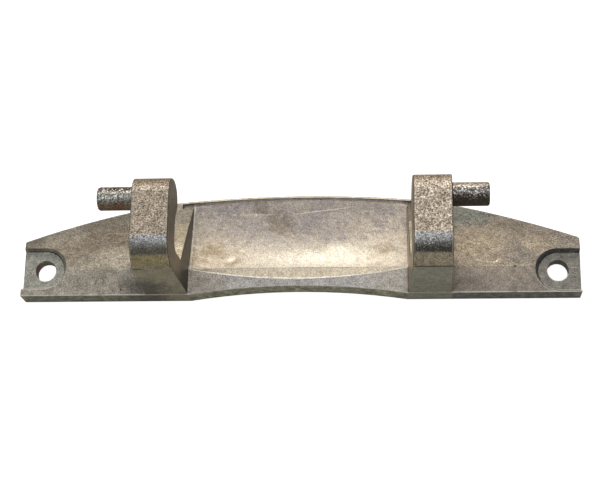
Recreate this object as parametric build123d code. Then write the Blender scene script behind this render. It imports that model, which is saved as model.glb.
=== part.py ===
from build123d import *
import os
from math import atan2, degrees, radians, sqrt, tan

# Die-cast door hinge for a front-loading washing machine.
# It lies on its mounting face: X runs along the plate, Y from the front edge
# to the rear rim, and the two hooked arms rise along Z.

# Plate
plate_length = 195.4
band_height = 7.8       # thickness of the flat band along the front edge
band_depth = 9.7        # front edge to the crease where the upper face starts to fall
slope_angle = 11.0      # fall of the upper face from the crease to the rear rim
rim_depth = 38.1        # front edge to the rear rim, at the middle
left_end_depth = 20.7   # front edge to the rear rim, at the plate's left end
right_end_depth = 20.3
rim_half = 46.0         # half length of the flatter middle stretch of the rim
rim_radius = 420.0
left_wing_radius = 300.0   # bow of the rim from the middle stretch to the left end
right_wing_radius = 360.0
rim_blend = 60.0        # where the middle stretch runs into the wings
left_corner_radius = 0.5
right_corner_radius = 1.3
plate_edge_radius = 0.35
cove_depth = 2.95       # hollow in the front edge between the arms, for the round door opening

# Scoop between the arms, where the door frame swings
scoop_side = 42.0       # half length, ending under the arms
scoop_front = 5.6       # front edge to the scoop's edge, at the middle
scoop_edge_radius = 195.0
scoop_edge_drop = 0.15  # step down from the band at the middle of that edge
scoop_crease_drop = 0.5
rim_land = 0.8          # narrow land left along the rear rim
scoop_rim_height = 1.9
scoop_sag = 0.9         # how far the floor dips below a straight slope

# Screw holes, each in an open-ended sunk seat
hole_inset = 7.7          # plate's end to the hole's centre, along the plate
hole_diameter = 7.4
left_hole_depth = 10.05   # front edge to the hole's centre
right_hole_depth = 8.6
seat_height = 4.5         # plate thickness left under the screw head
seat_radius = 6.7
left_seat_shift = 0.5     # seat's axis from the hole's, along Y
right_seat_shift = -0.25
seat_draft = 22.0

# Arms
arm_foot_inner = 38.0     # half the gap between the arms, at the mounting face
arm_foot_outer = 53.6
arm_inner_draft = 3.4
arm_outer_draft = 0.5
wall_draft = 2.6
front_height = 41.25      # mounting face to the arm's flat front
bevel_drop = 7.35         # flat front to the top of the upright front wall
bevel_angle = 52.8        # bevel from the plane of the flat front
elbow_radius = 8.0
neck_thickness = 11.05    # flat front to the back of the neck
column_depth = 9.4        # front edge to the back of the upright column
inner_elbow_radius = 4.0
hook_opening = 10.9       # back of the neck to where the gusset leaves the column
gusset_setback = 0.4      # gusset's end to the rear rim, at the arm's outer face
gusset_sink = 0.12        # gusset's end below the upper face it runs into
neck_blend = 2.5          # blend from the boss into the neck
arm_edge_radius = 0.5
foot_blend = 0.5

# Hinge pins, each with a slimmer spigot pressed into a blind bore in its arm
pin_diameter = 8.0
spigot_diameter = 7.0
pin_stand_off = 0.15      # arm's outer face to the pin's shoulder
pin_axis_depth = 26.1     # front edge to the pins' common axis
boss_radius = 6.75
pin_reach = 65.6          # middle plane to the pin's free end
pin_seat = 8.5            # length of the spigot in the arm
pin_end_radius = 0.9

# Values worked out from the sizes above
wall_height = front_height - bevel_drop
neck_height = front_height - neck_thickness
gusset_top = neck_height - hook_opening
pin_axis_height = front_height - boss_radius
slope = tan(radians(slope_angle))
rim_drop = rim_radius - sqrt(rim_radius**2 - rim_half**2)
arm_pin_face = arm_foot_outer - pin_axis_height * tan(radians(arm_outer_draft))
overrun = 5.0             # how far a cutter runs past what it cuts


def slope_height(depth):
    """Height of the sloped upper face at a distance from the front edge."""
    return band_height - slope * (depth - band_depth)


def wing_rim(x):
    """Distance from the front edge to the rear rim on the right wing."""
    run = plate_length / 2 - rim_half
    fall = rim_depth - rim_drop - right_end_depth
    half_chord = sqrt(run**2 + fall**2) / 2
    to_centre = sqrt(right_wing_radius**2 - half_chord**2) / (2 * half_chord)
    centre = (rim_half + run / 2 - fall * to_centre, right_end_depth + fall / 2 - run * to_centre)
    return centre[1] + sqrt(right_wing_radius**2 - (x - centre[0]) ** 2)


def plate_outline():
    rim_end = (rim_half, rim_depth - rim_drop)
    end = plate_length / 2
    with BuildSketch() as outline:
        with BuildLine():
            Polyline((-arm_foot_inner, 0), (-end, 0), (-end, left_end_depth))
            RadiusArc((-end, left_end_depth), (-rim_end[0], rim_end[1]), left_wing_radius)
            RadiusArc((-rim_end[0], rim_end[1]), rim_end, rim_radius)
            RadiusArc(rim_end, (end, right_end_depth), right_wing_radius)
            Polyline((end, right_end_depth), (end, 0), (arm_foot_inner, 0))
            ThreePointArc((arm_foot_inner, 0), (0, cove_depth), (-arm_foot_inner, 0))
        make_face()
        for x in (-rim_half, rim_half):
            fillet(outline.vertices().sort_by_distance((x, rim_end[1]))[0], rim_blend)
        fillet(outline.vertices().sort_by_distance((-end, left_end_depth))[0], left_corner_radius)
        fillet(outline.vertices().sort_by_distance((end, right_end_depth))[0], right_corner_radius)
    return outline.sketch


def plate():
    far = rim_depth + overrun
    with BuildSketch(Plane.YZ) as section:
        Polygon(
            (-overrun, 0),
            (far, 0),
            (far, slope_height(far)),
            (band_depth, band_height),
            (-overrun, band_height),
            align=None,
        )
    body = extrude(plate_outline(), band_height) & extrude(section.sketch, plate_length, both=True)
    upper = body.faces().filter_by(lambda f: f.normal_at().Z > 0.5)
    rim = upper.edges().filter_by(lambda e: e.center().Y > band_depth + 0.01)
    return fillet(rim, plate_edge_radius)


def scoop_cutter():
    crease = (band_depth, band_height - scoop_crease_drop)
    edge = (scoop_front, band_height - scoop_edge_drop)
    run = (crease[0] - edge[0], crease[1] - edge[1])
    start = (edge[0] - run[0], edge[1] - run[1])
    rim = (rim_depth - rim_land, scoop_rim_height)
    middle = ((crease[0] + rim[0]) / 2, (crease[1] + rim[1]) / 2 - scoop_sag)
    top = band_height + overrun
    with BuildSketch(Plane.YZ) as section:
        with BuildLine():
            Line(start, crease)
            ThreePointArc(crease, middle, rim)
            Polyline(rim, (rim[0], top), (start[0], top), start)
        make_face()
    edge_centre = scoop_front + scoop_edge_radius
    side_depth = edge_centre - sqrt(scoop_edge_radius**2 - scoop_side**2)
    land_radius = rim_radius - rim_land
    land_centre = rim_depth - rim_radius
    side_rim = land_centre + sqrt(land_radius**2 - scoop_side**2)
    with BuildSketch() as outline:
        with BuildLine():
            ThreePointArc((-scoop_side, side_depth), (0, scoop_front), (scoop_side, side_depth))
            Line((scoop_side, side_depth), (scoop_side, side_rim))
            ThreePointArc((scoop_side, side_rim), (0, rim_depth - rim_land), (-scoop_side, side_rim))
            Line((-scoop_side, side_rim), (-scoop_side, side_depth))
        make_face()
    return extrude(section.sketch, scoop_side, both=True) & extrude(outline.sketch, top)


def arm_side():
    """Side view of an arm: column, hooked neck, boss and gusset."""
    gusset_depth = wing_rim(arm_foot_outer) - gusset_setback
    gusset_foot = slope_height(gusset_depth) - gusset_sink
    wall_top = (wall_height * tan(radians(wall_draft)), wall_height)
    elbow = (wall_top[0] + bevel_drop / tan(radians(bevel_angle)), front_height)
    boss = (pin_axis_depth, pin_axis_height)
    drop = pin_axis_height - neck_height
    boss_end = 180 + degrees(atan2(drop, sqrt(boss_radius**2 - drop**2)))
    neck_start = (boss[0] - sqrt(boss_radius**2 - drop**2), neck_height)
    with BuildSketch(Plane.YZ) as side:
        with BuildLine():
            Polyline((0, 0), wall_top, elbow, (pin_axis_depth, front_height))
            CenterArc(boss, boss_radius, 90, boss_end - 450)
            Polyline(
                neck_start,
                (column_depth, neck_height),
                (column_depth, gusset_top),
                (gusset_depth, gusset_foot),
                (gusset_depth, 0),
                (0, 0),
            )
        make_face()
        fillet(side.vertices().sort_by_distance(elbow)[0], elbow_radius)
        inner_elbow = side.vertices().sort_by_distance((column_depth, neck_height))[0]
        fillet(inner_elbow, inner_elbow_radius)
        boss_root = side.vertices().sort_by_distance(neck_start)[0]
        fillet(boss_root, neck_blend)
    return side.sketch


def arm():
    """Right arm, its two faces drafted towards the front."""
    top = front_height + overrun
    inner_top = arm_foot_inner + top * tan(radians(arm_inner_draft))
    outer_top = arm_foot_outer - top * tan(radians(arm_outer_draft))
    with BuildSketch(Plane.XZ) as front:
        Polygon(
            (arm_foot_inner, 0),
            (arm_foot_outer, 0),
            (outer_top, top),
            (inner_top, top),
            align=None,
        )
    blank = extrude(arm_side(), plate_length / 2)
    body = blank & extrude(front.sketch, -rim_depth)
    inner = body.faces().sort_by(Axis.X)[0]
    outer = body.faces().sort_by(Axis.X)[-1]
    rims = (inner.edges() + outer.edges()).filter_by(lambda e: e.center().Z > band_height)
    return fillet(rims, arm_edge_radius)


def seat_cutter(side, hole_depth, seat_shift):
    """Screw seat, open at the plate's end, with the hole through its floor."""
    hole = (side * (plate_length / 2 - hole_inset), hole_depth)
    axis = hole_depth + seat_shift
    run_out = plate_length / 2 + overrun
    with BuildSketch(Plane.XY.offset(seat_height)) as floor:
        with Locations((hole[0], axis)):
            Circle(seat_radius)
        with Locations(((hole[0] + side * run_out) / 2, axis)):
            Rectangle(run_out - abs(hole[0]), 2 * seat_radius)
    seat = extrude(floor.sketch, band_height, taper=-seat_draft)
    return seat + Pos(hole[0], hole_depth) * Cylinder(hole_diameter / 2, 2 * band_height)


def pin():
    """Right pin: spigot, shoulder and a free end rounded over."""
    shoulder = arm_pin_face + pin_stand_off
    from_below = (Align.CENTER, Align.CENTER, Align.MIN)
    from_above = (Align.CENTER, Align.CENTER, Align.MAX)
    shaft = Cylinder(pin_diameter / 2, pin_reach - shoulder, align=from_below)
    shaft = fillet(shaft.edges().sort_by(Axis.Z)[-1], pin_end_radius)
    shaft += Cylinder(spigot_diameter / 2, pin_seat + pin_stand_off, align=from_above)
    return Pos(shoulder, pin_axis_depth, pin_axis_height) * Rot(0, 90, 0) * shaft


def outer_feet(body):
    """Long edges where the arms' outer faces meet the plate."""
    def is_foot(edge):
        spot = edge.center()
        beside_arm = abs(abs(spot.X) - arm_foot_outer) < foot_blend
        return beside_arm and edge.length > 2 * foot_blend and 0 < spot.Z <= band_height + 0.01
    return body.edges().filter_by(is_foot)


right_arm = arm()
left_arm = mirror(right_arm, Plane.YZ)
right_pin = pin()
left_pin = mirror(right_pin, Plane.YZ)
casting = plate() - scoop_cutter() + right_arm + left_arm
casting = fillet(outer_feet(casting), foot_blend)
casting -= seat_cutter(-1, left_hole_depth, left_seat_shift)
casting -= seat_cutter(1, right_hole_depth, right_seat_shift)
casting = casting - right_pin - left_pin

# The origin is the middle of the mounting face
to_origin = Pos(0, -rim_depth / 2, 0)
nodes = {"hinge_casting": casting, "left_pin": left_pin, "right_pin": right_pin}
os.makedirs("parts", exist_ok=True)
for name, shape in nodes.items():
    export_step(to_origin * shape, f"parts/{name}.step")
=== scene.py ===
from math import atan2, radians

import bpy
from mathutils import Matrix, Vector

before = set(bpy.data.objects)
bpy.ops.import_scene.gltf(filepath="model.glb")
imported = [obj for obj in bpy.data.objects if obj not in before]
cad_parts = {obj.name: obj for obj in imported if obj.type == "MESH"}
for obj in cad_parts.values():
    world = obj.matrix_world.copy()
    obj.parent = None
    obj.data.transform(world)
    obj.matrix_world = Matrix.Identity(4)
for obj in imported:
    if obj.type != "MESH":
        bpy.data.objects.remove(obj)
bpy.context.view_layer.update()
print("frame loaded:", ", ".join(sorted(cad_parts)))

# Camera and light. The hinge lies on its mounting face and is seen from above.

cameraSet = {
    "place": (0.03909, -0.15749, 0.48156),
    "right": (0.996998, 0.013748, -0.076196),
    "up": (0.011046, 0.948789, 0.315719),
    "back": (0.076635, -0.315613, 0.945789),
    "lens": 85.74,
    "sensor": 36.0,
}

# every lamp: place, aim, size and strength in metres and watts
lampSet = {
    "rearWindow": {
        "place": (0.02, 0.88, 0.60), "aim": (0.0, 0.0, 0.01), "size": (1.6, 0.26),
        "power": 8.5, "color": (1.0, 0.95, 0.87),
    },
    "ceiling": {
        "place": (-0.05, 0.06, 1.25), "aim": (0.0, 0.0, 0.0), "size": (0.60, 0.26),
        "power": 3.2, "color": (0.90, 0.95, 1.0),
    },
}

worldSet = {
    "rearTone": (0.30, 0.295, 0.285),
    "frontTone": (0.40, 0.40, 0.385),
    "horizonTone": (0.58, 0.55, 0.46),
    "backdropTone": (0.93, 0.93, 0.93),
}

floorSet = {"size": 6.0, "paleTone": (0.55, 0.55, 0.55), "glow": 0.86, "bounceTone": (0.66, 0.64, 0.56)}


def addCamera():
    data = bpy.data.cameras.new("photoCamera")
    data.lens = cameraSet["lens"]
    data.sensor_width = cameraSet["sensor"]
    data.clip_start, data.clip_end = 0.01, 50.0
    camera = bpy.data.objects.new("photoCamera", data)
    bpy.context.scene.collection.objects.link(camera)
    axes = Matrix((cameraSet["right"], cameraSet["up"], cameraSet["back"])).transposed()
    camera.matrix_world = Matrix.Translation(cameraSet["place"]) @ axes.to_4x4()
    bpy.context.scene.camera = camera


def addLamp(name, lamp):
    data = bpy.data.lights.new(name, "AREA")
    data.shape = "RECTANGLE"
    data.size, data.size_y = lamp["size"]
    data.energy = lamp["power"]
    data.color = lamp["color"]
    light = bpy.data.objects.new(name, data)
    bpy.context.scene.collection.objects.link(light)
    light.location = lamp["place"]
    toward = Vector(lamp["aim"]) - Vector(lamp["place"])
    light.rotation_euler = toward.to_track_quat("-Z", "Y").to_euler()


# Small helpers for node trees

def tone(red, green, blue):
    # a colour as seen on screen, 0 to 255, as the linear value a shader takes
    linear = []
    for part in (red, green, blue):
        share = part / 255
        linear.append(share / 12.92 if share <= 0.04045 else ((share + 0.055) / 1.055) ** 2.4)
    return (*linear, 1.0)


def shaderValues(values):
    # every tone of a dictionary as a shader takes it, and the other values as they are
    return {name: tone(*value) if isinstance(value, tuple) else value for name, value in values.items()}


def newMaterial(name):
    material = bpy.data.materials.new(name)
    material.use_nodes = True
    material.node_tree.nodes.clear()
    return material, material.node_tree


def feed(tree, socket, value):
    if isinstance(value, bpy.types.NodeSocket):
        tree.links.new(value, socket)
    elif value is not None:
        socket.default_value = value


def addNode(tree, kind, inputs=None, **settings):
    node = tree.nodes.new(kind)
    for name, value in settings.items():
        setattr(node, name, value)
    for name, value in (inputs or {}).items():
        feed(tree, node.inputs[name], value)
    return node


def calc(tree, operation, first, second=None, third=None, clamp=False):
    node = addNode(tree, "ShaderNodeMath", operation=operation, use_clamp=clamp)
    for socket, value in zip(node.inputs, (first, second, third)):
        feed(tree, socket, value)
    return node.outputs["Value"]


def ramp(tree, value, low, high):
    # 0 below low, 1 above high, and a smooth rise between them
    node = addNode(tree, "ShaderNodeMapRange", interpolation_type="SMOOTHSTEP")
    feed(tree, node.inputs["Value"], value)
    node.inputs["From Min"].default_value = low
    node.inputs["From Max"].default_value = high
    return node.outputs["Result"]


def band(tree, value, low, high, soft):
    # 1 between low and high, fading out over soft
    return calc(tree, "MULTIPLY", ramp(tree, value, low - soft, low + soft),
                calc(tree, "SUBTRACT", 1.0, ramp(tree, value, high - soft, high + soft)))


def blend(tree, factor, first, second, mode="MIX"):
    node = addNode(tree, "ShaderNodeMix", data_type="RGBA", blend_type=mode)
    feed(tree, node.inputs["Factor"], factor)
    feed(tree, node.inputs[6], first)
    feed(tree, node.inputs[7], second)
    return node.outputs[2]


def product(tree, *values):
    result = values[0]
    for value in values[1:]:
        result = calc(tree, "MULTIPLY", result, value)
    return result


def strongest(tree, values):
    result = values[0]
    for value in values[1:]:
        result = calc(tree, "MAXIMUM", result, value)
    return result


def opposite(tree, value):
    return calc(tree, "SUBTRACT", 1.0, value)


def millimetres(tree):
    # the place on the hinge in millimetres, and the way the surface faces
    coordinates = addNode(tree, "ShaderNodeTexCoord")
    scaled = addNode(tree, "ShaderNodeVectorMath", {"Scale": 1000.0}, operation="SCALE")
    tree.links.new(coordinates.outputs["Object"], scaled.inputs[0])
    place = scaled.outputs["Vector"]
    facing = coordinates.outputs["Normal"]
    return place, facing


def split(tree, vector):
    node = addNode(tree, "ShaderNodeSeparateXYZ", {"Vector": vector})
    return node.outputs["X"], node.outputs["Y"], node.outputs["Z"]


def newGroup(name, inputs, outputs):
    group = bpy.data.node_groups.new(name, "ShaderNodeTree")
    kinds = {"value": "NodeSocketFloat", "vector": "NodeSocketVector", "color": "NodeSocketColor"}
    for label, kind, default in inputs:
        socket = group.interface.new_socket(name=label, in_out="INPUT", socket_type=kinds[kind])
        if default is not None:
            socket.default_value = default
    for label, kind in outputs:
        group.interface.new_socket(name=label, in_out="OUTPUT", socket_type=kinds[kind])
    return group, group.nodes.new("NodeGroupInput").outputs, group.nodes.new("NodeGroupOutput").inputs


def useGroup(tree, group, inputs):
    node = tree.nodes.new("ShaderNodeGroup")
    node.node_tree = group
    for name, value in inputs.items():
        feed(tree, node.inputs[name], value)
    return node.outputs


# Shared effects

def makeEdgeGroup():
    # a mask along the edges, for worn edges, painted highlights and painted dark outlines of shade, and a
    # normal that rounds them over
    group, given, result = newGroup(
        "edgeWearAndPaintedLight",
        [("Radius", "value", 0.0004), ("Grain", "value", 0.5)],
        [("Mask", "value"), ("Normal", "vector")],
    )
    rounded = addNode(group, "ShaderNodeBevel", {"Radius": given["Radius"]}, samples=6)
    surface = addNode(group, "ShaderNodeNewGeometry")
    match = addNode(group, "ShaderNodeVectorMath", operation="DOT_PRODUCT")
    group.links.new(rounded.outputs["Normal"], match.inputs[0])
    group.links.new(surface.outputs["Normal"], match.inputs[1])
    away = opposite(group, match.outputs["Value"])
    raw = ramp(group, away, 0.003, 0.05)
    feed(group, result["Mask"], product(group, raw, ramp(group, given["Grain"], 0.2, 0.55)))
    feed(group, result["Normal"], rounded.outputs["Normal"])
    return group


def makeSkinGroup():
    # the skin of a die casting: fine grain, specks, mottling, soft clouds and sparse pits
    group, given, result = newGroup(
        "castSkin",
        [("Place", "vector", None), ("Grain Scale", "value", 2.2), ("Speck Scale", "value", 2.0),
         ("Cloud Scale", "value", 0.07)],
        [(name, "value") for name in ("Grain", "Speck", "Mottle", "Cloud", "Patch", "Pits")],
    )
    place = given["Place"]
    fine = addNode(group, "ShaderNodeTexNoise", {
        "Vector": place, "Scale": given["Grain Scale"], "Detail": 3.0, "Roughness": 0.65})
    speck = addNode(group, "ShaderNodeTexNoise", {
        "Vector": place, "Scale": given["Speck Scale"], "Detail": 1.5, "Roughness": 0.5})
    mottle = addNode(group, "ShaderNodeTexNoise", {
        "Vector": place, "Scale": 0.42, "Detail": 3.0, "Roughness": 0.6})
    cloud = addNode(group, "ShaderNodeTexNoise", {
        "Vector": place, "Scale": given["Cloud Scale"], "Detail": 5.0, "Roughness": 0.6, "Distortion": 0.6})
    wide = calc(group, "MULTIPLY", given["Cloud Scale"], 3.1)
    patch = addNode(group, "ShaderNodeTexNoise", {
        "Vector": place, "Scale": wide, "Detail": 4.0, "Roughness": 0.62})
    # one round pit in some of the cells
    cells = addNode(group, "ShaderNodeTexVoronoi", {"Vector": place, "Scale": 0.55}, feature="F1")
    gate = addNode(group, "ShaderNodeTexWhiteNoise", noise_dimensions="3D")
    group.links.new(cells.outputs["Position"], gate.inputs["Vector"])
    few = ramp(group, gate.outputs["Value"], 0.86, 0.9)
    pits = product(group, opposite(group, ramp(group, cells.outputs["Distance"], 0.08, 0.2)), few)
    feed(group, result["Grain"], fine.outputs["Fac"])
    feed(group, result["Speck"], speck.outputs["Fac"])
    feed(group, result["Mottle"], mottle.outputs["Fac"])
    feed(group, result["Cloud"], cloud.outputs["Fac"])
    feed(group, result["Patch"], patch.outputs["Fac"])
    feed(group, result["Pits"], pits)
    return group


def turnedPlace(tree, place, middle, turn):
    # how far a place lies from a mark's middle, along the mark and across it
    shifted = addNode(tree, "ShaderNodeVectorMath", operation="SUBTRACT")
    feed(tree, shifted.inputs[0], place)
    feed(tree, shifted.inputs[1], middle)
    turned = addNode(tree, "ShaderNodeVectorRotate", {"Vector": shifted.outputs["Vector"]},
                     rotation_type="Z_AXIS")
    feed(tree, turned.inputs["Angle"], calc(tree, "MULTIPLY", turn, -1.0))
    return split(tree, turned.outputs["Vector"])[:2]


def makePatchGroup():
    # a soft ragged oval seen from above, for stains, rubbed places and clouds of colour
    group, given, result = newGroup(
        "ovalPatch",
        [("Place", "vector", None), ("Centre", "vector", None), ("Half Length", "value", 5.0),
         ("Half Width", "value", 3.0), ("Turn", "value", 0.0), ("Softness", "value", 0.5),
         ("Ragged", "value", 0.4), ("Strength", "value", 1.0), ("Shift", "value", 0.0)],
        [("Mask", "value")],
    )
    along, across = turnedPlace(group, given["Place"], given["Centre"], given["Turn"])
    first = calc(group, "DIVIDE", along, given["Half Length"])
    second = calc(group, "DIVIDE", across, given["Half Width"])
    squares = calc(group, "ADD", product(group, first, first), product(group, second, second))
    reach = calc(group, "SQRT", squares)
    shaken = calc(group, "MULTIPLY_ADD", given["Shift"], given["Ragged"], reach)
    low = calc(group, "SUBTRACT", 1.0, given["Softness"])
    high = calc(group, "ADD", 1.0, given["Softness"])
    fade = addNode(group, "ShaderNodeMapRange", {"Value": shaken, "From Min": low, "From Max": high},
                   interpolation_type="SMOOTHSTEP")
    feed(group, result["Mask"], product(group, opposite(group, fade.outputs["Result"]), given["Strength"]))
    return group


def makeScratchGroup():
    # a thin straight mark between two points seen from above
    group, given, result = newGroup(
        "scratch",
        [("Place", "vector", None), ("Middle", "vector", None), ("Half Length", "value", 5.0),
         ("Width", "value", 0.15), ("Turn", "value", 0.0), ("Strength", "value", 1.0)],
        [("Mask", "value")],
    )
    along, across = turnedPlace(group, given["Place"], given["Middle"], given["Turn"])
    thin = calc(group, "DIVIDE", calc(group, "ABSOLUTE", across), given["Width"])
    ends = calc(group, "DIVIDE", calc(group, "ABSOLUTE", along), given["Half Length"])
    line = opposite(group, ramp(group, thin, 0.4, 1.3))
    mask = product(group, line, opposite(group, ramp(group, ends, 0.75, 1.0)))
    feed(group, result["Mask"], product(group, mask, given["Strength"]))
    return group


edgeGroup = makeEdgeGroup()
skinGroup = makeSkinGroup()
patchGroup = makePatchGroup()
scratchGroup = makeScratchGroup()
print("shared effects ready")

# The die casting

# where its forms lie, in millimetres from the middle of the mounting face
formSet = {
    "plateTop": 8.0,
    "seatStart": 80.0,
    "seatFloor": 4.5,
    "creaseY": -9.35,
    "frontY": -19.05,
    "rearY": 16.0,
    "scoopRadius": 195.0,
    "scoopCentreY": 181.55,
    "armInner": 38.0,
    "armOuter": 53.5,
    "blockTop": 34.0,
    # straight lines: how much they fall or rise per millimetre, and where they start
    "wingRim": (0.285, -29.5),
    "landHeight": (-0.1944, 5.9),
}

# where one shade passes into the next, in the same millimetres
spanSet = {
    # along the plate
    "scoopRight": (8.0, 28.0),
    "creamLeft": (-30.0, -12.0),
    "creamRight": (18.0, 32.0),
    "stripLeft": (-32.0, -22.0),
    "ledgeLeft": (-34.0, -20.0),
    "ledgeRight": (16.0, 32.0),
    "arcStart": (-33.0, -27.0),
    "arcFade": (12.0, 24.0),
    "holeRust": (-94.4, -92.0),
    "creaseGap": (40.5, 47.5),
    # across the plate
    "wingRear": (2.0, 12.0),
    "cream": (-4.5, 4.5),
    "gussetFoot": (-8.0, 2.0),
    # in height
    "smearTop": (16.0, 26.0),
    "gussetTop": (24.0, 27.0),
    "innerSide": (17.0, 24.0),
}

castingSet = {
    "metallic": 0.62,
    "roughness": 0.40,
    "edgeRadius": 0.0005,
    "cornerShadeReach": 0.004,
    "grainStrength": 0.62,
    "mottleStrength": 0.24,
    "scoopCalm": 0.3,
    "grainRelief": 0.35,
    "speckRelief": 1.5,
    "mottleRelief": 1.2,
    "bumpStrength": 0.7,
    "bumpDistance": 0.0002,
    # plate
    "leftWingTone": (127, 118, 106),
    "leftWingBrownTone": (104, 94, 82),
    "leftWingLitTone": (152, 144, 132),
    "rightWingTone": (127, 119, 110),
    "rightWingWarmTone": (146, 135, 119),
    "wingRimReflectionTone": (92, 91, 85),
    "bandTone": (157, 149, 138),
    "bandDarkTone": (118, 109, 99),
    "bandRightTone": (130, 121, 112),
    "seatTone": (154, 152, 142),
    "seatRightTone": (124, 120, 112),
    "seatWallTone": (168, 168, 158),
    "seatShadeLineTone": (30, 30, 32),
    "seatWallRightTone": (104, 102, 112),
    "frontFaceTone": (132, 130, 117),
    "frontMiddleTone": (160, 156, 139),
    "frontRightTone": (112, 110, 107),
    "rimHighlightTone": (206, 190, 162),
    "edgeHighlightTone": (206, 202, 194),
    "outlineShadeTone": (66, 61, 52),
    "plateCreaseTone": (196, 186, 168),
    "cornerShadeTone": (72, 66, 56),
    "pitTone": (74, 66, 56),
    # scoop
    "scoopTone": (156, 148, 140),
    "scoopRightTone": (170, 160, 149),
    "scoopVioletTone": (136, 130, 132),
    "creamSheenTone": (183, 174, 161),
    "creamLeftTone": (169, 158, 143),
    "stripTone": (206, 194, 174),
    "arcHighlightTone": (250, 244, 234),
    "ledgeTone": (155, 151, 147),
    "ledgeLeftShadeTone": (148, 139, 128),
    "ledgeRightTone": (160, 153, 144),
    # arms
    "leftFlatTone": (163, 150, 134),
    "rightFlatTone": (177, 162, 146),
    "speckDarkTone": (84, 70, 56),
    "speckLightTone": (226, 220, 208),
    "bossReflectionTone": (114, 90, 69),
    "elbowHighlightTone": (168, 170, 175),
    "elbowShadeTone": (106, 103, 94),
    "rightElbowShadeTone": (72, 70, 67),
    "bevelTone": (156, 146, 114),
    "rightBevelTone": (158, 147, 129),
    "leftBlockTone": (152, 145, 128),
    "rightBlockTone": (150, 148, 138),
    "innerSideTone": (98, 91, 78),
    "rightStripTone": (142, 130, 104),
    "rightWallFootTone": (188, 178, 162),
    "gussetTone": (176, 164, 146),
    "gussetLightTone": (240, 230, 206),
    "gussetWallTone": (50, 47, 42),
    "wallRustTone": (112, 82, 60),
    "creaseShadeTone": (46, 32, 28),
    "rustTone": (140, 98, 62),
}

# soft clouds of colour on the plate, by shade: centre, half length, half width (mm),
# turn (degrees), softness, raggedness and strength of each spot
patchSet = {
    "brownClouds": {"shade": (108, 98, 84), "spots": [
        ((-70.0, 4.5), 17.0, 6.0, 18, 0.8, 1.2, 0.50),
        ((76.0, 4.6), 11.0, 2.6, -17, 0.7, 1.3, 0.60),
        ((69.0, 2.2), 4.5, 1.6, -10, 0.8, 1.6, 0.50),
        ((-70.0, -14.0), 9.0, 4.0, 0, 0.8, 1.4, 0.20),
        ((58.0, -16.0), 7.0, 2.6, 0, 0.8, 1.2, 0.50),
        ((-7.6, 9.0), 5.2, 3.2, 150, 0.9, 3.2, 0.62),
        ((-13.2, 14.6), 3.6, 2.2, 120, 0.9, 2.6, 0.60),
    ]},
    "paleRubs": {"shade": (174, 166, 150), "spots": [
        ((-64.0, -4.6), 9.0, 3.4, 0, 0.8, 1.0, 0.50),
        ((-84.0, 2.5), 7.0, 3.0, 15, 0.8, 1.0, 0.30),
    ]},
    "warmClouds": {"shade": (158, 144, 124), "spots": [
        ((62.0, -2.0), 10.0, 7.0, 0, 0.8, 1.0, 0.70),
        ((84.0, -1.0), 6.0, 2.6, -12, 0.8, 1.2, 0.50),
        ((75.0, -13.0), 9.0, 4.0, 0, 0.9, 1.4, 0.35),
        ((66.0, -10.0), 14.0, 2.6, 0, 0.9, 1.4, 0.50),
    ]},
    "greenishShade": {"shade": (106, 109, 103), "spots": [
        ((60.0, 10.2), 6.5, 3.2, -8, 0.7, 1.0, 0.80),
    ]},
    "darkSmear": {"shade": (70, 67, 60), "spots": [
        ((-55.6, -15.4), 5.3, 5.0, -35, 0.9, 2.0, 0.85),
    ]},
    "violetClouds": {"shade": (128, 123, 126), "spots": [
        ((-26.0, 13.5), 5.0, 2.6, 0, 0.9, 1.4, 0.60),
        ((5.0, 9.5), 5.0, 3.4, 0, 0.9, 1.4, 0.55),
        ((27.0, 14.0), 7.0, 2.6, -6, 0.9, 1.4, 0.50),
    ]},
    "dents": {"shade": (128, 111, 84), "spots": [
        ((-30.6, -2.2), 4.4, 2.4, 0, 0.8, 2.6, 0.60),
        ((-34.0, -6.2), 3.4, 1.0, -8, 0.8, 2.2, 0.50),
        ((-22.9, -6.8), 2.3, 1.9, 30, 0.6, 1.2, 0.65),
        ((-36.4, -5.4), 1.8, 1.8, 0, 0.8, 1.8, 0.55),
        ((30.5, -2.4), 2.6, 2.2, 0, 0.8, 2.0, 0.50),
        ((27.0, -5.0), 3.4, 0.8, 20, 0.8, 2.0, 0.45),
    ]},
    # painted highlights in the scoop's bright band, partly its polish
    "polishAndHighlights": {"shade": (255, 250, 236), "spots": [
        ((-23.5, -5.8), 1.5, 1.1, 30, 0.6, 0.8, 0.35),
        ((14.0, -3.2), 4.2, 2.4, 8, 0.9, 1.0, 0.42),
        ((8.0, -5.6), 17.0, 2.2, 0, 0.9, 1.4, 0.34),
    ]},
}

# half length in mm above which a spot counts as long
longSpot = 5.2

# thin marks, by shade: start, end and width (mm) and strength
scratchSet = {
    "paleScratches": {"shade": (212, 202, 186), "marks": [
        ((-25.0, 12.0), (-8.8, 12.0), 0.20, 0.55),
        ((-3.4, 11.9), (19.7, 14.7), 0.20, 0.65),
        ((1.2, 12.9), (7.3, 13.3), 0.16, 0.45),
        ((-20.0, -9.9), (28.0, -10.0), 0.16, 0.60),
        ((61.2, -6.9), (65.2, -8.0), 0.26, 0.55),
        ((65.2, -8.0), (68.7, -8.1), 0.26, 0.65),
        ((68.7, -8.1), (69.8, -6.5), 0.32, 0.75),
        ((-66.0, -5.6), (-61.5, -3.4), 0.30, 0.45),
        ((-63.0, -6.4), (-60.6, -4.6), 0.26, 0.35),
        ((-63.6, -18.6), (-62.4, -16.8), 0.22, 0.50),
    ]},
    "darkScratches": {"shade": (84, 76, 68), "marks": [
        ((-2.7, -9.35), (20.0, -9.45), 0.16, 0.45),
        ((-65.1, -17.2), (-63.6, -18.6), 0.26, 0.65),
        ((-71.6, -15.6), (-70.4, -13.0), 0.22, 0.75),
        ((-70.4, -13.0), (-68.9, -12.6), 0.22, 0.75),
        ((-68.9, -12.6), (-67.8, -14.6), 0.22, 0.65),
    ]},
}

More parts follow.
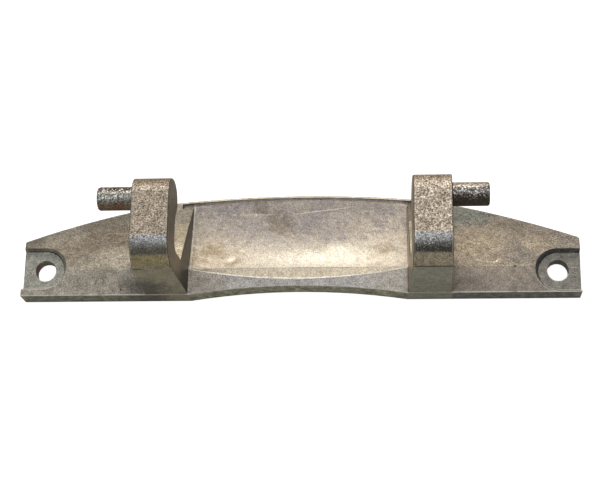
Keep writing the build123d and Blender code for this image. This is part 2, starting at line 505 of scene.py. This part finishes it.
# the dark smear on the left arm's front wall
smearSet = {
    "shade": (76, 72, 70), "centre": (-52.0, -19.0), "halfLength": 6.0, "halfWidth": 40.0,
    "softness": 0.7, "ragged": 1.6,
}

# small round pits: centre, radius (mm) and strength
pitSet = {"shade": (62, 50, 40), "pits": [
    ((75.1, -9.7), 0.45, 0.8),
    ((-21.6, 7.7), 0.35, 0.4),
    ((-20.4, 7.5), 0.30, 0.4),
    ((-62.0, -17.0), 0.45, 0.8),
    ((67.0, 10.2), 0.40, 0.8),
    ((59.6, 7.2), 0.28, 0.7),
    ((-87.0, -2.6), 0.35, 0.7),
]}


def shadeBy(tree, color, value, low, high):
    # darkens and lightens a colour as a noise value goes from 0.3 to 0.7
    shade = addNode(tree, "ShaderNodeMapRange", {"Value": value, "From Min": 0.3, "From Max": 0.7})
    feed(tree, shade.inputs["To Min"], low)
    feed(tree, shade.inputs["To Max"], high)
    return blend(tree, 1.0, color, addGrey(tree, shade.outputs["Result"]), "MULTIPLY")


def castingMaterial():
    look = shaderValues(castingSet)
    plateTop, seatStart, seatFloor = formSet["plateTop"], formSet["seatStart"], formSet["seatFloor"]
    creaseY, frontY, rearY = formSet["creaseY"], formSet["frontY"], formSet["rearY"]
    armInner, armOuter, blockTop = formSet["armInner"], formSet["armOuter"], formSet["blockTop"]
    material, tree = newMaterial("castZinc")
    place, facing = millimetres(tree)
    x, y, z = split(tree, place)
    side, toward, upward = split(tree, facing)
    fromMiddle = calc(tree, "ABSOLUTE", x)
    forward = calc(tree, "MULTIPLY", toward, -1.0)
    onRight = ramp(tree, x, -1.0, 1.0)
    skin = useGroup(tree, skinGroup, {"Place": place})
    noises = [skin[name] for name in ("Grain", "Speck", "Patch", "Mottle")]
    grain, speck, patch, mottle = noises
    cloud = skin["Cloud"]

    # values used more than once, worked out here first: the material has little room for them
    shifts = [calc(tree, "SUBTRACT", noise, 0.5) for noise in noises]
    grainShift, speckShift, patchShift, mottleShift = shifts
    gate = ramp(tree, patch, 0.3, 0.55)
    frontward = ramp(tree, forward, 0.85, 0.97)
    turning = calc(tree, "ABSOLUTE", side)
    overPlate = ramp(tree, z, plateTop - 0.15, plateTop + 0.1)
    underPlate = opposite(tree, overPlate)
    overBlock = ramp(tree, z, blockTop - 0.1, blockTop + 0.1)

    def paint(color, mask, second, strength=1.0):
        # lays a second colour over the first where the mask is bright
        if strength != 1.0:
            mask = calc(tree, "MULTIPLY", mask, strength)
        return blend(tree, mask, color, second)

    # where each form lies and which way it faces
    facesUp = ramp(tree, upward, 0.90, 0.95)
    onArm = product(tree, band(tree, fromMiddle, armInner - 0.4, armOuter + 0.5, 0.15), overPlate)
    besideArm = product(tree, ramp(tree, fromMiddle, armOuter - 0.5, armOuter - 0.1), facesUp, underPlate)
    wingZone = product(tree, besideArm, ramp(tree, y, creaseY - 0.35, creaseY + 0.35))
    fromCentre = calc(tree, "SUBTRACT", y, formSet["scoopCentreY"])
    squares = calc(tree, "ADD", product(tree, x, x), product(tree, fromCentre, fromCentre))
    fromScoopEdge = calc(tree, "SUBTRACT", formSet["scoopRadius"], calc(tree, "SQRT", squares))
    between = product(tree, opposite(tree, ramp(tree, fromMiddle, armInner + 0.2, armInner + 0.6)),
                      ramp(tree, z, 1.0, 1.2), facesUp)
    inScoop = product(tree, between, ramp(tree, fromScoopEdge, -0.1, 0.15))
    onLedge = product(tree, between, opposite(tree, ramp(tree, fromScoopEdge, -0.15, 0.1)))
    inSeat = product(tree, ramp(tree, fromMiddle, seatStart, seatStart + 1.0),
                     opposite(tree, ramp(tree, z, seatFloor + 0.05, seatFloor + 0.3)), facesUp)
    seatWall = product(tree, ramp(tree, fromMiddle, seatStart - 1.0, seatStart),
                       band(tree, upward, 0.2, 0.7, 0.08), band(tree, z, seatFloor, plateTop - 0.1, 0.1))
    frontFace = product(tree, frontward, opposite(tree, ramp(tree, z, plateTop - 0.3, plateTop - 0.1)))

    # how far a place lies behind the wings' rim, so it is below 0 on the wings
    rimReach = calc(tree, "ADD", y, calc(tree, "MULTIPLY_ADD", fromMiddle, *formSet["wingRim"]))

    # the plate: band along the front, two wings behind the crease
    color = blend(tree, onRight, look["bandTone"], look["bandRightTone"])
    color = paint(color, ramp(tree, cloud, 0.5, 0.72), look["bandDarkTone"], 0.6)
    leftWing = paint(look["leftWingTone"], ramp(tree, cloud, 0.45, 0.65), look["leftWingBrownTone"], 0.7)
    # painted light: the left wing lighter just behind the crease
    nearCrease = opposite(tree, ramp(tree, y, creaseY - 0.05, creaseY + 6.35))
    leftWing = paint(leftWing, nearCrease, look["leftWingLitTone"], 0.7)
    rightWing = paint(look["rightWingTone"], ramp(tree, cloud, 0.4, 0.62), look["rightWingWarmTone"], 0.6)
    # painted reflection: the wings greyer towards the rim
    rightWing = paint(rightWing, ramp(tree, y, *spanSet["wingRear"]), look["wingRimReflectionTone"], 0.6)
    nearRim = product(tree, ramp(tree, rimReach, -5.5, -1.0), ramp(tree, mottle, 0.3, 0.55))
    leftWing = paint(leftWing, nearRim, look["wingRimReflectionTone"])
    color = blend(tree, wingZone, color, blend(tree, onRight, leftWing, rightWing))

    # the scoop: dull and clouded at the back; along its front a bright cream band, partly its own polish and
    # partly a painted highlight
    clouds = blend(tree, ramp(tree, x, *spanSet["scoopRight"]), look["scoopTone"], look["scoopRightTone"])
    clouds = paint(clouds, ramp(tree, patch, 0.48, 0.68), look["scoopVioletTone"], 0.7)
    wander = calc(tree, "MULTIPLY", patchShift, 12.0)
    dipped = calc(tree, "MULTIPLY", product(tree, x, x), -0.0032)
    creamReach = calc(tree, "ADD", calc(tree, "ADD", y, wander), dipped)
    cream = opposite(tree, ramp(tree, creamReach, *spanSet["cream"]))
    creamStart = ramp(tree, x, *spanSet["creamLeft"])
    creamColor = blend(tree, creamStart, look["creamLeftTone"], look["creamSheenTone"])
    creamColor = paint(creamColor, ramp(tree, x, *spanSet["creamRight"]), look["creamLeftTone"], 0.5)
    scoopColor = blend(tree, cream, clouds, creamColor)
    strip = product(tree, opposite(tree, ramp(tree, y, creaseY - 0.55, creaseY + 0.05)),
                    ramp(tree, fromScoopEdge, -0.1, 0.2))
    scoopColor = blend(tree, strip, scoopColor, look["stripTone"])
    # painted shadow of the left arm on the strip's left end
    stripEnd = product(tree, strip, opposite(tree, ramp(tree, x, *spanSet["stripLeft"])))
    scoopColor = paint(scoopColor, stripEnd, look["ledgeLeftShadeTone"], 0.8)
    color = blend(tree, inScoop, color, scoopColor)
    # painted shadow of the left arm: the ledge darker and browner towards it
    ledge = blend(tree, ramp(tree, x, *spanSet["ledgeLeft"]), look["ledgeLeftShadeTone"], look["ledgeTone"])
    ledge = blend(tree, ramp(tree, x, *spanSet["ledgeRight"]), ledge, look["ledgeRightTone"])
    color = blend(tree, onLedge, color, ledge)
    # a painted highlight on the narrow land along the scoop's rear rim
    rearStrip = [opposite(tree, ramp(tree, fromMiddle, armInner + 2.0, armInner + 6.0)), facesUp,
                 ramp(tree, y, rearY, rearY + 0.2),
                 opposite(tree, ramp(tree, z, plateTop - 1.0, plateTop - 0.8))]
    overLand = calc(tree, "SUBTRACT", z, calc(tree, "MULTIPLY_ADD", y, *formSet["landHeight"]))
    land = product(tree, *rearStrip, ramp(tree, overLand, -0.35, -0.15))
    color = paint(color, land, look["rimHighlightTone"], 0.8)

    # the screws' seats, with a dark line of painted shade at the foot and at the top of their walls
    seatColor = blend(tree, onRight, look["seatTone"], look["seatRightTone"])
    color = blend(tree, inSeat, color, seatColor)
    seatWallColor = blend(tree, onRight, look["seatWallTone"], look["seatWallRightTone"])
    color = blend(tree, seatWall, color, seatWallColor)
    footLine = product(tree, seatWall, band(tree, z, seatFloor - 0.2, seatFloor + 0.5, 0.15))
    color = paint(color, footLine, look["seatShadeLineTone"], 0.95)
    topLine = product(tree, seatWall, band(tree, z, plateTop - 0.8, plateTop, 0.15))
    color = paint(color, topLine, look["seatShadeLineTone"], 0.9)

    # a painted highlight: the pale line where the left gusset stands on the plate
    lowPart = product(tree, opposite(tree, ramp(tree, z, plateTop - 0.7, plateTop - 0.2)), facesUp)
    gussetLine = product(tree, lowPart, band(tree, x, -armInner + 0.05, -armInner + 0.5, 0.1))
    color = paint(color, gussetLine, look["edgeHighlightTone"], 0.6)

    # clouds, stains and rubbed places on the plate
    low = product(tree, underPlate, facesUp)
    for patchLook in patchSet.values():
        masks = []
        for centre, halfLength, halfWidth, turn, softness, ragged, strength in patchLook["spots"]:
            # a long spot's rim wanders in wide waves, a short one's in small ones
            shift = patchShift if halfLength > longSpot else mottleShift
            masks.append(useGroup(tree, patchGroup, {
                "Place": place, "Centre": (*centre, 0.0), "Half Length": halfLength, "Half Width": halfWidth,
                "Turn": radians(turn), "Softness": softness, "Ragged": ragged, "Strength": strength,
                "Shift": shift})["Mask"])
        color = paint(color, product(tree, strongest(tree, masks), low), tone(*patchLook["shade"]))

    # the crease across the wings, and a painted highlight along the arc where the scoop starts
    creaseLine = product(tree, besideArm, band(tree, y, creaseY - 0.25, creaseY + 0.1, 0.12),
                         ramp(tree, patch, 0.38, 0.55))
    color = paint(color, creaseLine, look["plateCreaseTone"], 0.45)
    arcFade = calc(tree, "MULTIPLY_ADD", ramp(tree, x, *spanSet["arcFade"]), -0.6, 1.0)
    arcHighlight = product(tree, between, band(tree, fromScoopEdge, 0.0, 0.38, 0.1),
                      ramp(tree, x, *spanSet["arcStart"]), arcFade)
    color = paint(color, arcHighlight, look["arcHighlightTone"], 0.9)

    # arms: flat front, boss, elbow, bevel and upright block
    flatZone = product(tree, onArm, overBlock, ramp(tree, upward, 0.2, 0.4))
    armColor = blend(tree, onRight, look["leftFlatTone"], look["rightFlatTone"])
    # a painted brown reflection where the boss turns towards the back
    armColor = paint(armColor, ramp(tree, toward, 0.25, 0.75), look["bossReflectionTone"], 0.75)
    # the elbow painted by which way it faces: a bluish painted highlight as it leaves the flat front,
    # painted shade as it turns towards the bevel
    grainyForward = calc(tree, "MULTIPLY_ADD", speckShift, 0.9, forward)
    elbowShade = blend(tree, onRight, look["elbowShadeTone"], look["rightElbowShadeTone"])
    elbowColor = blend(tree, ramp(tree, grainyForward, 0.22, 0.60), look["elbowHighlightTone"], elbowShade)
    bevelColor = blend(tree, onRight, look["bevelTone"], look["rightBevelTone"])
    elbowColor = blend(tree, ramp(tree, forward, 0.72, 0.79), elbowColor, bevelColor)
    pastFlat = product(tree, ramp(tree, grainyForward, -0.02, 0.12), ramp(tree, forward, 0.005, 0.02))
    armColor = blend(tree, pastFlat, armColor, elbowColor)
    # a painted highlight, speckled, where the front turns over the boss
    bossHighlight = product(tree, band(tree, toward, 0.1, 0.3, 0.06), ramp(tree, speck, 0.47, 0.60))
    armColor = paint(armColor, bossHighlight, look["speckLightTone"], 0.55)
    onBevel = ramp(tree, forward, 0.35, 0.72)
    specks = product(tree, flatZone, calc(tree, "MULTIPLY_ADD", onBevel, -0.75, 1.0))
    color = blend(tree, flatZone, color, armColor)
    block = product(tree, onArm, ramp(tree, forward, 0.9, 0.97))
    blockFoot = product(tree, band(tree, fromMiddle, armInner, armOuter + 0.2, 0.3), frontward)
    blockColor = blend(tree, onRight, look["leftBlockTone"], look["rightBlockTone"])
    frontColor = blend(tree, onRight, look["frontFaceTone"], look["frontRightTone"])
    frontColor = blend(tree, ramp(tree, fromMiddle, armInner - 4.0, armInner + 4.0), look["frontMiddleTone"],
                       frontColor)
    frontColor = shadeBy(tree, frontColor, mottle, 0.5, 1.5)
    color = blend(tree, frontFace, color, frontColor)
    color = blend(tree, calc(tree, "MAXIMUM", block, blockFoot), color, blockColor)
    smear = useGroup(tree, patchGroup, {
        "Place": place, "Centre": (*smearSet["centre"], 0.0), "Half Length": smearSet["halfLength"],
        "Half Width": smearSet["halfWidth"], "Turn": 0.0, "Softness": smearSet["softness"],
        "Ragged": smearSet["ragged"], "Shift": mottleShift})
    smeared = product(tree, smear["Mask"], frontward, opposite(tree, ramp(tree, z, *spanSet["smearTop"])))
    color = paint(color, smeared, tone(*smearSet["shade"]), 0.8)

    # arms: gusset, its walls and the drafted sides
    onGusset = product(tree, onArm, ramp(tree, toward, 0.3, 0.5),
                       opposite(tree, ramp(tree, z, *spanSet["gussetTop"])))
    gussetFoot = opposite(tree, ramp(tree, y, *spanSet["gussetFoot"]))
    gussetColor = paint(look["gussetTone"], gussetFoot, look["gussetLightTone"], 0.7)
    color = blend(tree, onGusset, color, gussetColor)
    innerWall = product(tree, ramp(tree, turning, 0.8, 0.95),
                        band(tree, fromMiddle, armInner - 1.0, armInner + 4.5, 0.2))
    wallTop = ramp(tree, z, *spanSet["innerSide"])
    wallColor = blend(tree, wallTop, look["gussetWallTone"], look["innerSideTone"])
    wallColor = paint(wallColor, ramp(tree, mottle, 0.5, 0.7), look["wallRustTone"], 0.25)
    rightWall = blend(tree, ramp(tree, z, plateTop + 1.0, plateTop + 7.0), look["rightWallFootTone"],
                      look["rightStripTone"])
    wallColor = blend(tree, onRight, wallColor, rightWall)
    color = blend(tree, innerWall, color, wallColor)

    # dark and light specks in the arms' rough skin
    darkSpecks = opposite(tree, ramp(tree, speck, 0.36, 0.46))
    lightSpecks = ramp(tree, speck, 0.55, 0.66)
    color = paint(color, product(tree, specks, darkSpecks), look["speckDarkTone"], 0.8)
    bright = calc(tree, "MULTIPLY_ADD", onRight, 0.6, 0.35)
    color = paint(color, product(tree, specks, lightSpecks, bright), look["speckLightTone"])
    fineSpecks = product(tree, specks, opposite(tree, ramp(tree, grain, 0.30, 0.40)))
    color = paint(color, fineSpecks, look["speckDarkTone"], 0.6)

    # the arms' long edges: a painted highlight as a pale line on the front, and painted shade as a dark line
    # where it turns to the side
    armEdgeHighlight = product(tree, flatZone, band(tree, turning, 0.08, 0.3, 0.05))
    color = paint(color, armEdgeHighlight, look["edgeHighlightTone"], 0.5)
    armSideShade = product(tree, onArm, band(tree, turning, 0.5, 0.93, 0.06), ramp(tree, upward, 0.15, 0.3))
    color = paint(color, armSideShade, look["speckDarkTone"], 0.85)

    # a painted shadow: the dark, sharp line between the bevel and the upright front wall, broken here and
    # there
    crease = product(tree, band(tree, fromMiddle, armInner, armOuter, 0.2),
                     band(tree, z, blockTop - 1.3, blockTop - 0.02, 0.1), ramp(tree, forward, 0.5, 0.7))
    broken = calc(tree, "MAXIMUM", ramp(tree, cloud, 0.44, 0.52),
                  band(tree, x, *spanSet["creaseGap"], 0.3))
    color = paint(color, product(tree, crease, broken), look["creaseShadeTone"], 0.85)

    # scratches and pits
    for scratchLook in scratchSet.values():
        masks = []
        for start, end, width, strength in scratchLook["marks"]:
            run = (end[0] - start[0], end[1] - start[1])
            middle = ((start[0] + end[0]) / 2, (start[1] + end[1]) / 2, 0.0)
            length = (run[0] ** 2 + run[1] ** 2) ** 0.5
            masks.append(useGroup(tree, scratchGroup, {
                "Place": place, "Middle": middle, "Half Length": length / 2, "Width": width,
                "Turn": atan2(run[1], run[0]), "Strength": strength})["Mask"])
        color = paint(color, product(tree, strongest(tree, masks), gate, low), tone(*scratchLook["shade"]))
    masks = []
    for centre, radius, strength in pitSet["pits"]:
        masks.append(useGroup(tree, patchGroup, {
            "Place": place, "Centre": (*centre, 0.0), "Half Length": radius, "Half Width": radius,
            "Turn": 0.0, "Softness": 0.35, "Ragged": 0.5, "Strength": strength,
            "Shift": grainShift})["Mask"])
    color = paint(color, product(tree, strongest(tree, masks), low), tone(*pitSet["shade"]))

    # rust in the left screw hole
    rust = product(tree, band(tree, x, *spanSet["holeRust"], 0.3), ramp(tree, side, 0.4, 0.8))
    color = paint(color, rust, look["rustTone"], 0.6)

    # grain and mottling over all of it, quieter in the scoop
    calm = calc(tree, "MULTIPLY_ADD", inScoop, -look["scoopCalm"], 1.0)
    spread = calc(tree, "MULTIPLY", calm, look["grainStrength"])
    color = shadeBy(tree, color, grain, opposite(tree, spread), calc(tree, "ADD", 1.0, spread))
    blotch = calc(tree, "MULTIPLY", calm, look["mottleStrength"])
    color = shadeBy(tree, color, mottle, opposite(tree, blotch), calc(tree, "ADD", 1.0, blotch))
    color = shadeBy(tree, color, cloud, 0.92, 1.08)
    color = paint(color, skin["Pits"], look["pitTone"], 0.5)
    # painted shade in corners and hollows, from ambient occlusion, left out of the scoop
    corner = addNode(tree, "ShaderNodeAmbientOcclusion", {"Distance": look["cornerShadeReach"]}, samples=6)
    hidden = ramp(tree, opposite(tree, corner.outputs["AO"]), 0.3, 0.75)
    cornerShade = product(tree, hidden, opposite(tree, inScoop))
    color = paint(color, cornerShade, look["cornerShadeTone"], 0.35)
    edges = useGroup(tree, edgeGroup, {"Radius": look["edgeRadius"], "Grain": grain})
    # edges get a painted highlight along the front, and behind the crease a painted dark outline of shade,
    # less dark between the arms
    behindCrease = ramp(tree, y, creaseY + 0.35, creaseY + 1.85)
    outer = ramp(tree, fromMiddle, armInner - 3.0, armInner + 1.0)
    outlined = product(tree, behindCrease, calc(tree, "MULTIPLY_ADD", outer, 0.55, 0.45))
    color = paint(color, edges["Mask"], blend(tree, outlined, look["edgeHighlightTone"], look["outlineShadeTone"]), 0.9)
    # a painted highlight along the plate's front top edge, broken by the mottling
    frontEdge = product(tree, facesUp, band(tree, y, frontY - 0.15, frontY + 0.35, 0.08), underPlate,
                        ramp(tree, mottle, 0.32, 0.46))
    color = paint(color, frontEdge, look["edgeHighlightTone"], 0.8)

    # roughness and relief
    rough = calc(tree, "MULTIPLY_ADD", grainShift, 0.4, look["roughness"])
    rough = calc(tree, "ADD", rough, calc(tree, "MULTIPLY", specks, 0.08))
    rough = calc(tree, "ADD", rough, calc(tree, "MULTIPLY", cornerShade, 0.15), clamp=True)
    relief = calc(tree, "MULTIPLY", grain, look["grainRelief"])
    relief = calc(tree, "ADD", relief, product(tree, overBlock, speck, look["speckRelief"]))
    relief = calc(tree, "ADD", relief, calc(tree, "MULTIPLY", mottle, look["mottleRelief"]))
    return closeMaterial(tree, material, look, color, rough, relief, edges["Normal"])


def addGrey(tree, value):
    node = addNode(tree, "ShaderNodeCombineColor")
    for socket in node.inputs:
        feed(tree, socket, value)
    return node.outputs["Color"]


def closeMaterial(tree, material, look, color, rough, relief, normal):
    bump = addNode(tree, "ShaderNodeBump", {
        "Height": relief, "Normal": normal, "Strength": look["bumpStrength"],
        "Distance": look["bumpDistance"]})
    shader = addNode(tree, "ShaderNodeBsdfPrincipled", {
        "Base Color": color, "Roughness": rough, "Normal": bump.outputs["Normal"],
        "Metallic": look["metallic"]})
    output = addNode(tree, "ShaderNodeOutputMaterial")
    tree.links.new(shader.outputs["BSDF"], output.inputs["Surface"])
    return material


# The two pins

pinSet = {
    "metallic": 0.75,
    "roughness": 0.36,
    "greyTone": (142, 140, 133),
    "greyRightTone": (116, 113, 111),
    "darkTone": (122, 110, 95),
    "blackTone": (62, 56, 50),
    "brownTone": (56, 35, 20),
    "pinkTone": (170, 152, 138),
    "rustTone": (124, 82, 58),
    "brightTone": (226, 224, 220),
    "grainScale": 1.6,
    "speckScale": 1.5,
    "cloudScale": 0.16,
    "edgeRadius": 0.0003,
    "bumpStrength": 0.6,
    "bumpDistance": 0.00022,
}


def pinMaterial():
    look = shaderValues(pinSet)
    material, tree = newMaterial("pinSteel")
    place, facing = millimetres(tree)
    x = split(tree, place)[0]
    toward = split(tree, facing)[1]
    onRight = ramp(tree, x, -1.0, 1.0)
    skin = useGroup(tree, skinGroup, {
        "Place": place, "Grain Scale": look["grainScale"], "Speck Scale": look["speckScale"],
        "Cloud Scale": look["cloudScale"]})
    shaken = calc(tree, "MULTIPLY_ADD", calc(tree, "SUBTRACT", skin["Speck"], 0.5), 0.7, toward)
    # around the pin, painted light by which way it faces: a reflection at the back, brown on the left pin
    # and pinkish on the right, grey on top, and shade towards the front
    back = blend(tree, onRight, look["brownTone"], look["pinkTone"])
    grey = blend(tree, onRight, look["greyTone"], look["greyRightTone"])
    color = blend(tree, ramp(tree, shaken, 0.15, 0.5), grey, back)
    darkStart = calc(tree, "MULTIPLY_ADD", onRight, 0.32, -0.78)
    fade = addNode(tree, "ShaderNodeMapRange", {"Value": shaken, "To Min": 1.0, "To Max": 0.0},
                   interpolation_type="SMOOTHSTEP")
    feed(tree, fade.inputs["From Min"], darkStart)
    feed(tree, fade.inputs["From Max"], calc(tree, "ADD", darkStart, 0.35))
    dark = blend(tree, onRight, look["darkTone"], look["blackTone"])
    rusty = product(tree, ramp(tree, skin["Mottle"], 0.48, 0.62),
                    calc(tree, "MULTIPLY_ADD", onRight, -0.75, 1.0))
    dark = blend(tree, rusty, dark, look["rustTone"])
    color = blend(tree, fade.outputs["Result"], color, dark)
    bright = product(tree, ramp(tree, skin["Speck"], 0.54, 0.64), ramp(tree, toward, -0.95, 0.0), 0.85)
    color = blend(tree, bright, color, look["brightTone"])
    black = product(tree, opposite(tree, ramp(tree, skin["Speck"], 0.36, 0.46)), 0.8)
    color = blend(tree, black, color, look["blackTone"])
    edges = useGroup(tree, edgeGroup, {"Radius": look["edgeRadius"], "Grain": skin["Grain"]})
    grainShift = calc(tree, "SUBTRACT", skin["Grain"], 0.5)
    rough = calc(tree, "MULTIPLY_ADD", grainShift, 0.5, look["roughness"])
    relief = calc(tree, "ADD", skin["Grain"], skin["Speck"])
    return closeMaterial(tree, material, look, color, rough, relief, edges["Normal"])


def dress(node, material):
    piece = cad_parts[node]
    if not piece.material_slots:
        piece.data.materials.append(material)
    for slot in piece.material_slots:
        slot.material = material


dress("hinge_casting", castingMaterial())
steel = pinMaterial()
for name in ("left_pin", "right_pin"):
    dress(name, steel)
print("casting and pins dressed")


def addFloor():
    look = floorSet
    half = look["size"] / 2
    mesh = bpy.data.meshes.new("paleFloor")
    corners = [(-half, -half, 0), (half, -half, 0), (half, half, 0), (-half, half, 0)]
    mesh.from_pydata(corners, [], [(0, 1, 2, 3)])
    floor = bpy.data.objects.new("paleFloor", mesh)
    bpy.context.scene.collection.objects.link(floor)
    floor.location.z = -0.0001
    material, tree = newMaterial("paleFloor")
    pale = addNode(tree, "ShaderNodeBsdfDiffuse", {"Color": (*look["paleTone"], 1.0)})
    glow = addNode(tree, "ShaderNodeEmission", {"Color": (1.0, 1.0, 1.0, 1.0), "Strength": look["glow"]})
    seen = addNode(tree, "ShaderNodeAddShader")
    tree.links.new(pale.outputs["BSDF"], seen.inputs[0])
    tree.links.new(glow.outputs["Emission"], seen.inputs[1])
    bounce = addNode(tree, "ShaderNodeBsdfDiffuse", {"Color": (*look["bounceTone"], 1.0)})
    path = addNode(tree, "ShaderNodeLightPath")
    pick = addNode(tree, "ShaderNodeMixShader", {"Fac": path.outputs["Is Camera Ray"]})
    tree.links.new(bounce.outputs["BSDF"], pick.inputs[1])
    tree.links.new(seen.outputs["Shader"], pick.inputs[2])
    output = addNode(tree, "ShaderNodeOutputMaterial")
    tree.links.new(pick.outputs["Shader"], output.inputs["Surface"])
    mesh.materials.append(material)


def addWorld():
    look = worldSet
    world = bpy.data.worlds.new("softStudio")
    bpy.context.scene.world = world
    world.use_nodes = True
    tree = world.node_tree
    tree.nodes.clear()
    direction = addNode(tree, "ShaderNodeTexCoord")
    y, z = split(tree, direction.outputs["Generated"])[1:]
    color = blend(tree, ramp(tree, y, -0.12, 0.35), (*look["frontTone"], 1.0), (*look["rearTone"], 1.0))
    color = blend(tree, ramp(tree, z, 0.02, 0.30), (*look["horizonTone"], 1.0), color)
    path = addNode(tree, "ShaderNodeLightPath")
    color = blend(tree, path.outputs["Is Camera Ray"], color, (*look["backdropTone"], 1.0))
    background = addNode(tree, "ShaderNodeBackground", {"Color": color})
    output = addNode(tree, "ShaderNodeOutputWorld")
    tree.links.new(background.outputs["Background"], output.inputs["Surface"])


addCamera()
addWorld()
for lampName, lamp in lampSet.items():
    addLamp(lampName, lamp)
addFloor()
bpy.context.scene.view_settings.view_transform = "Standard"
print("camera, light and floor ready")
